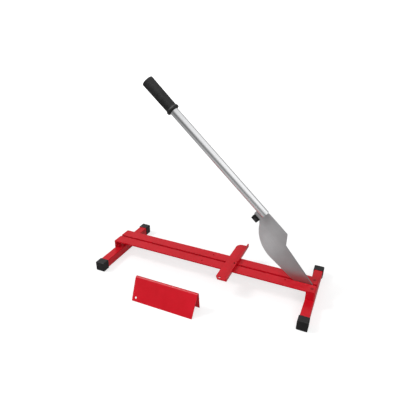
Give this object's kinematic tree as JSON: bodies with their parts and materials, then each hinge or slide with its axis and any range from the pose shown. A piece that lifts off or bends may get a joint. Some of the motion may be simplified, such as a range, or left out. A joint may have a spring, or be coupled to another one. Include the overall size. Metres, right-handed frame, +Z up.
{
  "type": "laminate flooring cutter",
  "caption": "Hand lever guillotine for floor planks: slotted steel rails on square feet, hinged blade with tube lever, cross fence and loose folded support.",
  "frame": {"origin": "on the floor, under the middle of the whole set: base, lever at rest and loose support", "axes": "+X along the rails towards the blade's pivot, +Y to the back, +Z up"},
  "size_m": [0.503, 0.272, 0.4401],
  "materials": {
    "red_paint": "smooth gloss enamel",
    "black_plastic": "fine moulded grain",
    "black_rubber": "matt",
    "blade_steel": "satin",
    "tube_metal": "satin chrome",
    "zinc_steel": "bright zinc",
    "dark_steel": "dark oxide"
  },
  "bodies": {
    "base": {"front_rail": "red_paint", "back_rail": "red_paint", "front_left_leg": "red_paint", "back_left_leg": "red_paint", "front_right_leg": "red_paint", "back_right_leg": "red_paint", "front_slot_bar": "red_paint", "back_slot_bar": "red_paint", "front_end_plate": "red_paint", "back_end_plate": "red_paint", "left_foot_tube": "red_paint", "right_foot_tube": "red_paint", "front_left_cap": "black_plastic", "back_left_cap": "black_plastic", "front_right_cap": "black_plastic", "back_right_cap": "black_plastic", "fence": "red_paint", "fence_screws": "zinc_steel", "front_pivot_bracket": "red_paint", "back_pivot_bracket": "red_paint", "bracket_screws": "red_paint", "bracket_nuts": "red_paint", "pivot_bolt": "red_paint", "pivot_washers": "red_paint", "pivot_nut": "red_paint", "pivot_spacers": "zinc_steel"},
    "lever": {"blade": "blade_steel", "lever_tube": "tube_metal", "lever_rivets": "tube_metal", "handle_grip": "black_rubber", "stop_bumper": "black_rubber", "bumper_screw": "dark_steel", "bumper_nut": "dark_steel"},
    "support": {"plank_support": "red_paint"}
  },
  "joints": [
    {"name": "blade_pivot", "type": "hinge", "parent": "base", "child": "lever", "pos_m": [0.2345, 0.027, 0.032], "axis": [0, 1, 0], "range_deg": [-40.3, 48]},
    {"name": "support_slide", "type": "slide", "parent": "base", "child": "support", "axis": [0, -1, 0], "range_m": [0, 0.12]}
  ]
}
